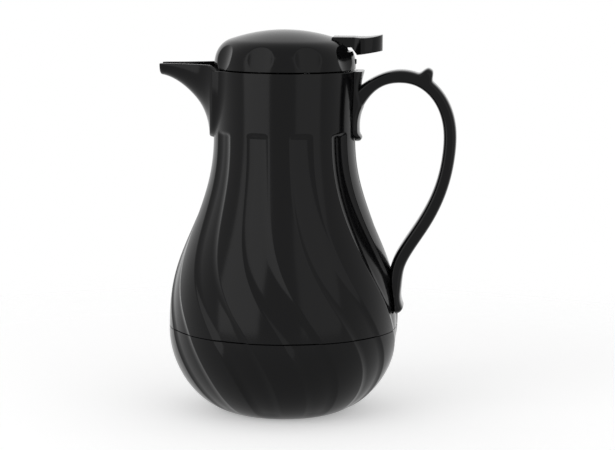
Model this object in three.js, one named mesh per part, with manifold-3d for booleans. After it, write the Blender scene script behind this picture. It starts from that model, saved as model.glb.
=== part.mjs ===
// Insulated pouring carafe with a fluted, swirling body, a screw-in stopper lid and a thumb lever.
// Millimetres, +Z up. The carafe stands on z = 0 with its axis on Z, spout towards -X, handle towards +X.

import * as THREE from 'three';
import { mergeVertices } from 'three/addons/utils/BufferGeometryUtils.js';
import Module from 'manifold-3d';

const wasm = await Module();
wasm.setup();

const { lerp, smoothstep, smootherstep, degToRad } = THREE.MathUtils;

// Fits
const gap = 0.3; // between neighbours that touch or run in each other

// Outer shell
const bellyRadius = 80.2;
const bellyHeight = 57;
const bellyRound = 1.9; // 2 would make the underside a plain ellipse
const bellyAxis = 30; // radius at which the rounding of the underside is centred
const neckRadius = 49.4;
const rimHeight = 239.3;
const neckLength = 39.3;
const neckHeight = rimHeight - neckLength; // where the shoulder ends
const neckFlare = 0.6;
const seamHeight = 60.2;
const shellWall = 3;
const seamLap = 5; // how far the base reaches up inside the upper shell
const foamGap = 4;
const linerWall = 2;

// Swirling flutes
const fluteCount = 10;
const fluteDepth = 1.6; // on the neck
const fluteDepthLow = 1.1; // on the belly
const fluteHalfAngle = degToRad(9.6);
const fluteTop = neckHeight - 1.6;
const fluteTopRound = 3.4;
const fluteFoot = 2; // where the flutes run out into the base
const swirlTurn = degToRad(52);
const swirlMiddle = 74;
const swirlSpread = 27;

// Spout
const spoutReach = neckRadius + 37.1;
const spoutTop = rimHeight + 3.8;
const spoutTipDepth = 8.2;
const spoutFoot = rimHeight - 47.3; // where the keel leaves the neck
const spoutKeelRound = 1.6;
const spoutTipHalfWidth = 11;
const spoutRootHalfWidth = 26;
const spoutWall = 2.8;
const spoutThroat = rimHeight - 17.3; // floor of the gutter where it leaves the neck

// Handle: the arm's root is given from a point inside the neck, where it is cut away.
const handleRootInset = 11;
const handleRootStations = [ // distance out from there, depth under the rim, half thickness, half width
  [0, 34.3, 10, 13],
  [10, 22.8, 6.5, 12.6],
];
const handleStations = [ // distance out from the neck, depth under the rim, half thickness, half width
  [8.1, 12.7, 4.8, 11.6],
  [17.8, 6.5, 4.2, 10.8],
  [29.6, 3.8, 4.5, 10.5],
  [42.6, 6, 4.4, 10.5],
  [57.1, 17.7, 4.4, 10.5],
  [64.8, 37.3, 4.5, 10.5],
  [64.9, 56.3, 4.5, 10.5],
  [59.4, 81.8, 4.6, 10.5],
  [48.2, 105.3, 4.8, 10.5],
  [36.8, 123, 4.8, 11],
];
const handleFootStations = [ // how far proud of the shell, height over the seam, thickness, width
  [5.6, 42.8, 4.8, 12],
  [0.6, 29.8, 4.6, 14.5],
  [-1.2, 18.8, 4.6, 15],
  [0.2, 11.3, 5, 15],
];
const handleFootEnd = seamHeight + 9.4;
const finialRadius = 3.9;
const finialReach = neckRadius + 49.1;
const finialHeight = rimHeight - 2.6;
const finialHalfWidth = 9;
const plateHalfWidth = 13;
const plateFootRound = 9;
const plateStations = [ // depth under the rim, proud of the neck
  [49.2, 1.6], [48.6, 3.2], [46.4, 4.6], [44.2, 3.5], [41, 2.9], [36, 2.9],
  [32.6, 3.3], [28, 4.4], [24, 5.6], [18, 5.6], [12.6, 4.7], [6, 5.3], [gap, 6.4],
];

// Lid cap
const lidGap = 0.4; // between the rim and the cap's skirt
const lidRadius = neckRadius - 0.4;
const lidTop = rimHeight + 27.5;
const lidDomeRadius = 110;
const lidShoulderReach = 14;
const lidShoulderRise = 17.5;
const lidSkirtRise = 3.3; // plain height of the skirt under the shoulder
const lidWall = 2.5;
const lidSideWall = 4.4; // thicker than the dome, to take the scallops
const scallopCount = 9;
const scallopTurn = degToRad(13.9); // from +X to the middle of the first scallop
const scallopRound = 19.5; // radius of the hollow
const scallopFootDepth = 0.6; // at the skirt's edge
const scallopLean = 0.286; // how far the hollow leans in for each millimetre it rises
const scallopLeastHalf = 4;
const channelHalfWidth = 13.6;
const channelDepth = 3;
const channelFoot = rimHeight + 14;
const channelInner = lidRadius - 9; // where the pressed channel starts
const tabHalfWidth = 2;
const tabDepth = 2; // how far its root goes into the skirt
const tabProud = 0.6;
const tabFoot = rimHeight + 4.2; // over the spout when the lid turns
const tabTop = rimHeight + 7.7;

// Stopper
const plugBottom = rimHeight - 45.3;
const plugFloor = 3;
const plugWall = 2.5;
const linerLip = rimHeight - 20.8;
const linerLipThick = 2.5;
const gasketThick = 2.4;
const flangeThick = 2.5;
const chamberRadius = neckRadius - 6.4;
const portCount = 4;
const portHalfWidth = 11;
const portHeight = 10;
const portLift = 2.5; // from the flange up to a port's sill
const coverThick = 2.5;

// Valve and lever
const seatRadius = 12;
const discOverlap = 3;
const discThick = 2.4;
const sealThick = 1.6;
const stemRadius = 2.2;
const stemFootRadius = 4.2;
const stemFootThick = 2.5;
const stemCapRadius = 4.2;
const stemCapThick = 2;
const springCoilRadius = 5.4;
const springWireRadius = 0.65;
const springTurns = 7;
const guideDepth = 12;
const pivotReach = lidRadius - 13;
const pivotHeight = lidTop - 9.8;
const pinRadius = 1.5;
const leverBossRadius = 3;
const leverHalfWidth = 12.2;
const leverTop = pivotHeight + 5.4;
const leverReach = lidRadius + 20;
const padHalfWidth = 14.5;
const padDepth = 11;
const padWall = 2;
const armHalfWidth = 4.6;
const armThick = 3.8;
const earThick = 3.4;
const slotAhead = 3.3; // how far the slot in the dome starts before the pivot

// Fasteners
const screwRadius = 1.5;
const screwHeadRadius = 3;
const screwHeadThick = 2;
const lidScrewCircle = 33;
const lidScrewReach = 8;
const lidBossRadius = 3.8;
const handleScrewHeights = [rimHeight - 27.3, seamHeight + 36.8];
const handleScrewReach = 3; // past the outside of the shell, short of the front of the tongue
const handleScrewSeat = 1.8; // from the curve of the shell's inside to the head, clear of its flat facets
const fillPlugRadius = 12;
const fillHoleRadius = 9;
const fillPlugStep = 1.5;

// Finishes
const gloss = { color: 0x141415, roughness: 0.16, metalness: 0 };
const plastic = { color: 0x1b1b1c, roughness: 0.5, metalness: 0 };
const linerPlastic = { color: 0x2a2a2c, roughness: 0.45, metalness: 0 };
const foamFinish = { color: 0xe8dfb6, roughness: 0.95, metalness: 0 };
const silicone = { color: 0xb9b7b1, roughness: 0.7, metalness: 0 };
const steel = { color: 0xb8babd, roughness: 0.3, metalness: 1 };

// Solids

// Merges shared corners and turns the faces outwards.
function tidy(geometry) {
  geometry.deleteAttribute('normal');
  geometry.deleteAttribute('uv');
  const merged = mergeVertices(geometry, 1e-4);
  const at = (i) => new THREE.Vector3().fromBufferAttribute(merged.attributes.position, merged.index.getX(i));
  const kept = [];
  let volume = 0;
  for (let i = 0; i < merged.index.count; i += 3) {
    const corners = [0, 1, 2].map((k) => merged.index.getX(i + k));
    if (new Set(corners).size === 3) kept.push(corners);
    volume += at(i).dot(at(i + 1).cross(at(i + 2)));
  }
  const faces = volume < 0 ? kept.map(([a, b, c]) => [a, c, b]) : kept;
  merged.setIndex(faces.flat());
  return merged;
}

function solid(geometry) {
  const clean = tidy(geometry);
  return new wasm.Manifold(new wasm.Mesh({
    numProp: 3,
    vertProperties: new Float32Array(clean.attributes.position.array),
    triVerts: new Uint32Array(clean.index.array),
  }));
}

function geometryOf(body) {
  const mesh = body.getMesh();
  const geometry = new THREE.BufferGeometry();
  geometry.setAttribute('position', new THREE.Float32BufferAttribute(mesh.vertProperties, 3));
  geometry.setIndex([...mesh.triVerts]);
  return geometry;
}

const point = (r, z) => new THREE.Vector2(r, z);

// Every round of the body's size has the same facets, so that nested walls stay parallel.
const facets = 30;

// Turns a closed outline of (radius, height) points about Z.
function revolve(points, segments = facets) {
  const outline = points.map(([r, z]) => point(r, z));
  const onAxis = outline[0].x === 0 && outline.at(-1).x === 0;
  if (!onAxis) outline.push(outline[0].clone());
  return solid(new THREE.LatheGeometry(outline, segments).rotateX(Math.PI / 2));
}

function disc(radius, bottom, top, segments = 32) {
  return revolve([[0, bottom], [radius, bottom], [radius, top], [0, top]], segments);
}

function ring(inner, outer, bottom, top, segments = facets) {
  return revolve([[inner, bottom], [outer, bottom], [outer, top], [inner, top]], segments);
}

function box(x0, x1, y0, y1, z0, z1) {
  const geometry = new THREE.BoxGeometry(x1 - x0, y1 - y0, z1 - z0);
  return solid(geometry.translate((x0 + x1) / 2, (y0 + y1) / 2, (z0 + z1) / 2));
}

// A rod along X, from x0 to x1.
function rodX(radius, x0, x1, y, z, segments = 12) {
  const geometry = new THREE.CylinderGeometry(radius, radius, x1 - x0, segments).rotateZ(Math.PI / 2);
  return solid(geometry.translate((x0 + x1) / 2, y, z));
}

// A rod along Y, centred on y = 0.
function rodY(radius, halfLength, x, z, segments = 20) {
  return solid(new THREE.CylinderGeometry(radius, radius, 2 * halfLength, segments).translate(x, 0, z));
}

function rodZ(radius, x, y, z0, z1, segments = 12) {
  return disc(radius, z0, z1, segments).translate([x, y, 0]);
}

// Joins rings of points into a closed skin with flat ends.
function loft(rings) {
  const sides = rings[0].length;
  const corners = rings.flat();
  const faces = [];
  for (let i = 0; i < rings.length - 1; i += 1) {
    for (let j = 0; j < sides; j += 1) {
      const a = i * sides + j;
      const b = i * sides + ((j + 1) % sides);
      faces.push(a, b, a + sides, b, b + sides, a + sides);
    }
  }
  for (const [start, flip] of [[0, true], [(rings.length - 1) * sides, false]]) {
    const centre = corners.length;
    corners.push(middle(corners.slice(start, start + sides)));
    for (let j = 0; j < sides; j += 1) {
      const edge = [start + j, start + ((j + 1) % sides)];
      faces.push(...(flip ? edge.reverse() : edge), centre);
    }
  }
  const geometry = new THREE.BufferGeometry().setFromPoints(corners);
  geometry.setIndex(faces);
  return solid(geometry);
}

function middle(points) {
  const sum = points.reduce((total, p) => total.add(p), new THREE.Vector3());
  return sum.divideScalar(points.length);
}

// Outline of the body

function bodyRadius(z) {
  if (z < bellyHeight) {
    const drop = (bellyHeight - z) / (bellyHeight + 1);
    const bulge = (1 - drop ** bellyRound) ** (1 / bellyRound);
    return lerp(bellyAxis, bellyRadius, bulge);
  }
  const shoulder = lerp(bellyRadius, neckRadius, smootherstep(z, bellyHeight, neckHeight));
  return shoulder + neckFlare * smoothstep(z, neckHeight, rimHeight);
}

// The point that lies the given depth under the body's skin at height z.
function under(z, depth) {
  const step = 0.01;
  const slope = (bodyRadius(z + step) - bodyRadius(z)) / step;
  const length = Math.hypot(1, slope);
  return [bodyRadius(z) - depth / length, z + depth * slope / length];
}

function spread(from, to, count) {
  return Array.from({ length: count }, (_, i) => lerp(from, to, i / (count - 1)));
}

function swirl(z) {
  return swirlTurn / (1 + Math.exp((z - swirlMiddle) / swirlSpread));
}

// A fluted piece has six columns of points to each hollow: three in it, two on its edges and one on the land.
const columnsPerHollow = 6;
const flutePitch = (2 * Math.PI) / fluteCount;
const bodyColumns = fluteCount * columnsPerHollow;

function columnAngle(column, pitch, halfAngle) {
  const offsets = [-halfAngle / 2, 0, halfAngle / 2, halfAngle, pitch / 2, pitch - halfAngle];
  return Math.floor(column / columnsPerHollow) * pitch + offsets[column % columnsPerHollow];
}

// Depth of a round-bottomed hollow in each of its columns, as a share of the deepest.
function columnDepth(column) {
  return [0.75, 1, 0.75, 0, 0, 0][column % columnsPerHollow];
}

function inMiddle(column) {
  return column % columnsPerHollow === 1;
}

// A lathed solid whose columns of points are then moved by place(column, r, z), which gives [angle, r].
// The outline runs from axis to axis, and the first hollow is centred on +X.
function flutedSolid(outline, hollowCount, place) {
  const points = outline.map(([r, z]) => point(r, z));
  const columnCount = hollowCount * columnsPerHollow;
  const geometry = new THREE.LatheGeometry(points, columnCount);
  const position = geometry.attributes.position;
  for (let i = 0; i < position.count; i += 1) {
    const column = Math.floor(i / points.length) % columnCount;
    const { x: radius, y: z } = points[i % points.length];
    const [angle, r] = radius > 0 ? place(column, radius, z) : [0, 0];
    position.setXYZ(i, r * Math.cos(angle), r * Math.sin(angle), z);
  }
  return solid(geometry);
}

// How far a column is pressed in at height z, from 0 to 1: the flute's top corners are rounded.
function fluteShape(column, z) {
  const topEdge = fluteTop - (inMiddle(column) ? 0 : fluteTopRound);
  const end = 1 - smoothstep(z, topEdge - fluteTopRound, topEdge);
  return columnDepth(column) * end * smoothstep(z, 0, fluteFoot * 4);
}

function bodySolid(heights) {
  const outline = [[0, heights[0]], ...heights.map((z) => [bodyRadius(z), z]), [0, heights.at(-1)]];
  return flutedSolid(outline, fluteCount, (column, r, z) => {
    const angle = columnAngle(column, flutePitch, fluteHalfAngle) + swirl(z);
    const depth = lerp(fluteDepthLow, fluteDepth, smoothstep(z, bellyHeight, neckHeight * 0.75));
    return [angle, r - depth * fluteShape(column, z)];
  });
}

// Outer shell

const neckBore = neckRadius - shellWall;
const lapTop = seamHeight + seamLap;
const lapDepth = shellWall - 0.6;
const tongueDepth = lapDepth + gap;
const tongueBack = shellWall + 1;

// Heights at which the nested walls inside the body have their corners, as shares of the shoulder's.
const skinHeights = [0.01, 0.045, 0.11, 0.2, 0.32, 0.46, 0.6, 0.74, 0.9].map((share) => share * neckHeight);

function skin(depth, from, to) {
  return skinHeights.filter((z) => z > from && z < to).map((z) => under(z, depth));
}

function upperShell() {
  const body = bodySolid([
    ...spread(seamHeight + gap / 2, fluteTop - 3 * fluteTopRound, 12),
    fluteTop - 1.8 * fluteTopRound, fluteTop - fluteTopRound, fluteTop, (fluteTop + rimHeight) / 2, rimHeight,
  ]);
  const hollow = revolve([
    [0, seamHeight], [under(seamHeight, lapDepth)[0], seamHeight], under(lapTop + gap, lapDepth),
    under(lapTop + gap, shellWall), ...skin(shellWall, lapTop + 4, neckHeight),
    [neckBore, neckHeight], [neckBore, rimHeight + 1], [0, rimHeight + 1],
  ]);
  const bore = disc(neckBore, spoutFoot - 5, spoutTop + 10, facets);
  const lidRoom = disc(lidRadius + lidGap, rimHeight, spoutTop + 10, bodyColumns);
  const spout = spoutOutside().subtract(bore).subtract(lidRoom);
  const screwHoles = handleScrewHeights.map((z) => rodX(screwRadius + gap, linerBore, bellyRadius, 0, z));
  return body.subtract(hollow).add(spout).subtract(spoutGutter())
    .subtract(screwHoles[0]).subtract(screwHoles[1]);
}

function baseShell() {
  const body = bodySolid(spread(0, 1, 11).map((share) => share ** 1.7 * (seamHeight - gap / 2)));
  const tongue = revolve([
    under(seamHeight - seamLap, lapDepth), under(seamHeight, tongueDepth), under(lapTop, tongueDepth),
    under(lapTop, tongueBack), under(seamHeight, tongueBack), under(seamHeight - seamLap, shellWall),
  ]);
  const hollow = revolve([[0, shellWall], ...skin(shellWall, 0, neckHeight), [0, neckHeight]]);
  const fillHole = disc(fillHoleRadius + gap, -1, shellWall + 1);
  const fillStep = disc(fillPlugRadius + gap, -1, fillPlugStep + gap);
  return body.subtract(hollow).add(tongue).subtract(fillHole).subtract(fillStep);
}

function fillPlug() {
  return revolve([
    [0, 0], [fillPlugRadius, 0], [fillPlugRadius, fillPlugStep],
    [fillHoleRadius, fillPlugStep], [fillHoleRadius, shellWall], [0, shellWall],
  ], 32);
}

// Spout: an open gutter that grows out of the neck

function keelHeight(d) {
  const away = Math.min(1, (spoutReach - d) / (spoutReach - neckRadius + 0.5));
  const rise = (1 - away ** spoutKeelRound) ** (1 / spoutKeelRound);
  return lerp(spoutFoot, spoutTop - spoutTipDepth, rise);
}

function spoutHalfWidth(d) {
  const back = Math.max(0, spoutReach - d) / (spoutReach - neckBore);
  return lerp(spoutTipHalfWidth, spoutRootHalfWidth, back ** 1.7);
}

function spoutEdge(d) {
  return lerp(rimHeight, spoutTop, smoothstep(d, neckRadius - 5, neckRadius + 4));
}

// A U-shaped section across the spout, open side up.
function gutterSection(d, halfWidth, top, bottom) {
  const steps = 10;
  return Array.from({ length: steps + 1 }, (_, i) => {
    const a = Math.PI * i / steps;
    const side = Math.sign(Math.cos(a)) * Math.abs(Math.cos(a)) ** 0.8;
    return new THREE.Vector3(-d, halfWidth * side, top - (top - bottom) * Math.sin(a) ** 0.9);
  });
}

function spoutOutside() {
  const start = neckRadius - 11;
  const root = spread(start, neckRadius + 6, 6);
  const arm = spread(neckRadius + 6, spoutReach - 1.6, 6).slice(1);
  const sections = [...root, ...arm].map((d) => (
    gutterSection(d, spoutHalfWidth(d), spoutEdge(d), keelHeight(Math.max(d, neckRadius - 0.5)))
  ));
  const tipBottom = spoutTop - spoutTipDepth;
  sections.push(gutterSection(spoutReach - 0.5, spoutTipHalfWidth - 0.3, spoutTop, tipBottom + 0.5));
  sections.push(gutterSection(spoutReach, spoutTipHalfWidth - 1.3, spoutTop, tipBottom + 1.9));
  return loft(sections);
}

function spoutGutter() {
  const lipFloor = spoutTop - spoutTipDepth + spoutWall;
  const stations = spread(neckRadius - 14, spoutReach + 1, 7);
  return loft(stations.map((d) => {
    const along = (d - neckBore) / (spoutReach - neckBore);
    const floor = lerp(spoutThroat, lipFloor, Math.max(0, along));
    return gutterSection(d, spoutHalfWidth(Math.max(d, neckBore)) - spoutWall, spoutTop + 6, floor);
  }));
}

// Liner and insulation

const foamDepth = shellWall + gap;
const linerDepth = foamDepth + foamGap + gap;
const linerBore = neckRadius - linerDepth - linerWall;
const lipRadius = neckBore - gap;

function innerLiner() {
  const neck = linerBore + linerWall;
  return revolve([
    [0, linerDepth], ...skin(linerDepth, 0, neckHeight), [neck, neckHeight],
    [neck, linerLip - linerLipThick], [lipRadius, linerLip - linerLipThick],
    [lipRadius, linerLip], [linerBore, linerLip], [linerBore, neckHeight],
    ...skin(linerDepth + linerWall, 2, neckHeight).reverse(), [0, linerDepth + linerWall],
  ]);
}

function foamInsulation() {
  const top = linerLip - linerLipThick - gap;
  const neck = linerBore + linerWall + gap;
  const lapInner = Math.min(under(seamHeight, tongueBack + gap)[0], under(lapTop, tongueBack + gap)[0]);
  const lapRoom = ring(lapInner - gap, bellyRadius, seamHeight - seamLap - gap, lapTop + gap);
  const body = revolve([
    [0, foamDepth], ...skin(foamDepth, 0, neckHeight), [neckBore - gap, neckHeight], [neckBore - gap, top],
    [neck, top], [neck, neckHeight], ...skin(foamDepth + foamGap, 0, neckHeight).reverse(),
    [0, foamDepth + foamGap],
  ]);
  const screwRooms = handleScrewHeights.map((z) => (
    rodX(screwHeadRadius + gap, bodyRadius(z) - linerDepth, bodyRadius(z), 0, z)
  ));
  return body.subtract(lapRoom).subtract(screwRooms[0]).subtract(screwRooms[1]);
}

// Handle

function handlePath() {
  const foot = handleFootStations.map(([proud, rise, ...size]) => (
    [bodyRadius(seamHeight + rise) + proud, seamHeight + rise, ...size]
  ));
  const start = neckRadius - handleRootInset;
  const root = handleRootStations.map(([out, drop, ...size]) => [start + out, rimHeight - drop, ...size]);
  const loop = handleStations.map(([out, drop, ...size]) => [neckRadius + out, rimHeight - drop, ...size]);
  return [...root, ...loop, ...foot];
}

function handleArm() {
  const stations = handlePath();
  const path = new THREE.CatmullRomCurve3(stations.map(([x, z]) => new THREE.Vector3(x, 0, z)));
  const size = new THREE.CatmullRomCurve3(stations.map(([, , t, w]) => new THREE.Vector3(t, w, 0)));
  const steps = 32;
  const sides = 12;
  const rings = [];
  for (let i = 0; i <= steps; i += 1) {
    const centre = path.getPoint(i / steps);
    const along = path.getTangent(i / steps);
    const out = new THREE.Vector3(-along.z, 0, along.x);
    const { x: thick, y: wide } = size.getPoint(i / steps);
    rings.push(Array.from({ length: sides }, (_, j) => {
      const a = 2 * Math.PI * (j + 0.5) / sides;
      const u = Math.sign(Math.cos(a)) * Math.abs(Math.cos(a)) ** 0.5;
      const v = Math.sign(Math.sin(a)) * Math.abs(Math.sin(a)) ** 0.5;
      return centre.clone().addScaledVector(out, thick * u).add(new THREE.Vector3(0, wide * v, 0));
    }));
  }
  return loft(rings);
}

// The tongue on the neck that carries the handle, with a curled foot and a lip under the lid.
function handlePlate() {
  const front = plateStations.map(([drop, proud]) => [bodyRadius(rimHeight - drop) + proud, rimHeight - drop]);
  const [plateFoot, plateTop] = [front[0][1], front.at(-1)[1]];
  const back = neckRadius - shellWall;
  const outline = [[back, plateFoot], ...front, [back, plateTop]];
  const tongue = new THREE.Shape();
  const low = plateFoot + plateFootRound;
  tongue.moveTo(-plateHalfWidth, rimHeight + 5);
  tongue.lineTo(-plateHalfWidth, low);
  tongue.absellipse(0, low, plateHalfWidth, plateFootRound, Math.PI, 2 * Math.PI, false);
  tongue.lineTo(plateHalfWidth, rimHeight + 5);
  const block = new THREE.ExtrudeGeometry(tongue, { depth: 40, bevelEnabled: false, curveSegments: 8 });
  block.rotateX(Math.PI / 2).rotateZ(Math.PI / 2).translate(neckRadius - 20, 0, 0);
  return revolve(outline, bodyColumns).intersect(solid(block));
}

function handle() {
  const face = spread(handleFootEnd - 15, rimHeight, 24).map((z) => [bodyRadius(z) + gap, z]);
  const room = revolve([[0, face[0][1]], ...face, [0, rimHeight]], bodyColumns);
  const finial = new THREE.SphereGeometry(finialRadius, 12, 8);
  finial.scale(1, finialHalfWidth / finialRadius, 1).translate(finialReach, 0, finialHeight);
  const below = box(neckRadius, spoutReach + 40, -40, 40, 0, handleFootEnd);
  const bores = handleScrewHeights.map((z) => (
    rodX(screwRadius + gap, 30, bodyRadius(z) + handleScrewReach + gap, 0, z)
  ));
  return handleArm().add(handlePlate()).add(solid(finial)).subtract(room).subtract(below)
    .subtract(bores[0]).subtract(bores[1]);
}

function handleScrew(z) {
  const inside = under(z + screwHeadRadius, shellWall)[0] - handleScrewSeat;
  const head = rodX(screwHeadRadius, inside - screwHeadThick, inside, 0, z);
  const shank = rodX(screwRadius, inside - 0.5, bodyRadius(z) + handleScrewReach, 0, z, 12);
  return head.add(shank);
}

// Stopper

const plugRadius = linerBore - gap;
const flangeBottom = linerLip + gap + gasketThick + gap;
const flangeTop = flangeBottom + flangeThick;
const flangeRadius = lipRadius - 0.6;
const portSill = flangeTop + portLift;
const stopperTop = rimHeight - gap;
const coverBottom = stopperTop + gap;
const coverTop = coverBottom + coverThick;

function stopperBody() {
  const inner = plugRadius - plugWall;
  const chamberInner = chamberRadius - plugWall;
  const body = revolve([
    [seatRadius, plugBottom], [plugRadius - 1.5, plugBottom], [plugRadius, plugBottom + 1.5],
    [plugRadius, flangeBottom], [flangeRadius, flangeBottom], [flangeRadius, flangeTop],
    [chamberRadius, flangeTop], [chamberRadius, stopperTop], [chamberInner, stopperTop],
    [chamberInner, flangeTop], [inner, flangeTop - 2], [inner, plugBottom + plugFloor],
    [seatRadius, plugBottom + plugFloor],
  ]);
  let cut = body;
  for (let i = 0; i < portCount; i += 1) {
    const port = box(
      plugRadius / 2, plugRadius * 1.5, -portHalfWidth, portHalfWidth, portSill, portSill + portHeight,
    );
    cut = cut.subtract(port.rotate([0, 0, 360 * i / portCount]));
  }
  return cut;
}

function lidScrewPlaces() {
  return [60, 180, 300].map((degrees) => {
    const a = degToRad(degrees);
    return [lidScrewCircle * Math.cos(a), lidScrewCircle * Math.sin(a)];
  });
}

function stopperCover() {
  const guide = disc(stemRadius + gap + 2.6, coverBottom - guideDepth, coverTop, 24);
  let cover = disc(chamberRadius, coverBottom, coverTop, facets).add(guide);
  cover = cover.subtract(disc(stemRadius + gap, coverBottom - guideDepth - 1, coverTop + 1, 24));
  for (const [x, y] of lidScrewPlaces()) {
    cover = cover.subtract(rodZ(screwRadius + gap, x, y, coverBottom - 1, coverTop + 1));
  }
  return cover;
}

function stopperGasket() {
  const bottom = linerLip + gap;
  return ring(plugRadius + gap, flangeRadius, bottom, bottom + gasketThick);
}

// Lid cap

const skirtBottom = rimHeight + lidGap;
const shoulderFoot = skirtBottom + lidSkirtRise;

// The cap's outline from the skirt up to the axis, at given depths under the skin of its dome and its side.
function lidSkin(depth, sideDepth = depth) {
  const points = [[lidRadius - sideDepth, skirtBottom]];
  const reach = lidShoulderReach - sideDepth;
  const rise = lidShoulderRise - sideDepth;
  const centre = lidRadius - lidShoulderReach;
  const shoulderEnd = degToRad(66);
  for (const a of spread(0, shoulderEnd, 8)) {
    points.push([centre + reach * Math.cos(a), shoulderFoot + rise * Math.sin(a)]);
  }
  const edge = points.at(-1)[0];
  const skipped = sideDepth > depth ? 0 : 1; // under a thicker side, the dome starts with a step up
  for (const r of spread(edge, 0, 5).slice(skipped)) {
    points.push([r, lidTop - depth - (r * r) / (2 * lidDomeRadius)]);
  }
  return points;
}

// The scallops are straight round hollows that lean in, so each one ends where the shoulder falls back to it.
function lidOutside() {
  const pitch = (2 * Math.PI) / scallopCount;
  return flutedSolid([[0, skirtBottom], ...lidSkin(0)], scallopCount, (column, r, z) => {
    const depth = Math.max(0, r - lidRadius + scallopFootDepth + scallopLean * (z - skirtBottom));
    const halfWidth = Math.max(Math.sqrt(2 * scallopRound * depth), scallopLeastHalf);
    const angle = columnAngle(column, pitch, halfWidth / Math.max(r, lidRadius / 2)) + scallopTurn;
    return [angle, r - depth * columnDepth(column)];
  });
}

// Everything further in than the given depths under the cap's dome and side.
function lidInside(depth, sideDepth = depth) {
  const side = lidRadius - sideDepth;
  return revolve([[0, skirtBottom - 1], [side, skirtBottom - 1], ...lidSkin(depth, sideDepth).slice(1)]);
}

function lidCap() {
  const back = box(
    channelInner, lidRadius + 5, -channelHalfWidth, channelHalfWidth, channelFoot, lidTop,
  );
  const backing = box(
    channelInner - 2, lidRadius + 5, -channelHalfWidth - 2, channelHalfWidth + 2, skirtBottom - 2, lidTop,
  );
  const hollow = lidInside(lidWall, lidSideWall).subtract(backing.subtract(lidInside(channelDepth + lidWall)));
  const channel = back.subtract(lidInside(channelDepth));
  const slot = box(
    pivotReach - slotAhead, lidRadius - lidShoulderReach + 8.4, -leverHalfWidth - gap, leverHalfWidth + gap,
    pivotHeight - 8, lidTop,
  );
  const tab = box(
    lidRadius - tabDepth, lidRadius + tabProud, -tabHalfWidth, tabHalfWidth, tabFoot, tabTop,
  );
  let cap = lidOutside().subtract(hollow);
  for (const side of [-1, 1]) cap = cap.add(pivotEar(side));
  for (const [x, y] of lidScrewPlaces()) {
    const roof = lidTop - lidWall - (lidScrewCircle ** 2) / (2 * lidDomeRadius);
    cap = cap.add(rodZ(lidBossRadius, x, y, coverTop + gap, roof + 0.8, 16));
  }
  cap = cap.subtract(channel).subtract(slot);
  cap = cap.subtract(rodY(pinRadius + gap, leverHalfWidth + earThick + 2, pivotReach, pivotHeight, 12));
  for (const [x, y] of lidScrewPlaces()) {
    cap = cap.subtract(rodZ(screwRadius + gap, x, y, coverTop, coverTop + lidScrewReach + 1, 12));
  }
  return cap.add(tab);
}

// One of the two ears that hold the lever's pin under the dome.
function pivotEar(side) {
  const size = leverBossRadius + 1.2;
  const near = side * (leverHalfWidth + gap);
  const far = side * (leverHalfWidth + gap + earThick);
  return box(
    pivotReach - size, pivotReach + size, Math.min(near, far), Math.max(near, far),
    pivotHeight - size, pivotHeight + 1.6,
  );
}

function lidScrew(x, y) {
  const head = rodZ(screwHeadRadius, x, y, coverBottom - gap - screwHeadThick, coverBottom - gap);
  return head.add(rodZ(screwRadius, x, y, coverBottom - gap - 0.5, coverTop + lidScrewReach, 12));
}

// Valve

const sealBottom = plugBottom + plugFloor + gap;
const sealRadius = seatRadius + discOverlap;
const discBottom = sealBottom + sealThick + gap;
const hubTop = discBottom + discThick + 2;
const forkTop = pivotHeight + armThick / 2 - 0.9;
const stemTop = forkTop + gap + stemCapThick;

function valveSeal() {
  return ring(stemRadius + gap, sealRadius, sealBottom, sealBottom + sealThick, 24);
}

function valveStem() {
  const foot = sealBottom - gap;
  return revolve([
    [0, foot - stemFootThick], [stemFootRadius, foot - stemFootThick], [stemFootRadius, foot],
    [stemRadius, foot],
    [stemRadius, stemTop], [0, stemTop],
  ], 16);
}

function valveDisc() {
  return revolve([
    [stemRadius + gap, discBottom], [sealRadius, discBottom], [sealRadius, discBottom + discThick],
    [springCoilRadius + 2, discBottom + discThick], [springCoilRadius + 1.6, discBottom + discThick + 1],
    [springCoilRadius - 2.2, discBottom + discThick + 1], [springCoilRadius - 2.2, hubTop],
    [stemRadius + gap, hubTop],
  ], 24);
}

function stemCap() {
  return ring(stemRadius + gap, stemCapRadius, forkTop + gap, forkTop + gap + stemCapThick, 20);
}

const springFoot = discBottom + discThick + 1 + gap;
const springHead = coverBottom - guideDepth - gap;

class Helix extends THREE.Curve {
  getPoint(t) {
    const a = 2 * Math.PI * springTurns * t;
    const z = lerp(springFoot + springWireRadius, springHead - springWireRadius, t);
    return new THREE.Vector3(springCoilRadius * Math.cos(a), springCoilRadius * Math.sin(a), z);
  }
}

// The least gap between turns of the spring, measured on points of its wire's path.
function leastSpringGap() {
  const perTurn = 24;
  const points = new Helix().getPoints(springTurns * perTurn);
  let least = Infinity;
  for (let i = 0; i < points.length; i += 1) {
    for (let j = i + perTurn / 2; j < points.length; j += 1) {
      least = Math.min(least, points[i].distanceTo(points[j]));
    }
  }
  return least - 2 * springWireRadius;
}

function valveSpring() {
  const section = new THREE.Shape();
  section.absarc(0, 0, springWireRadius, 0, 2 * Math.PI, false);
  const options = { steps: springTurns * 8, extrudePath: new Helix(), curveSegments: 3 };
  console.log(`Least gap between the spring's turns: ${leastSpringGap().toFixed(2)} mm`);
  return solid(new THREE.ExtrudeGeometry(section, options));
}

// Thumb lever: a side outline cut to the plan of the arm, the web and the rounded pad

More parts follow.
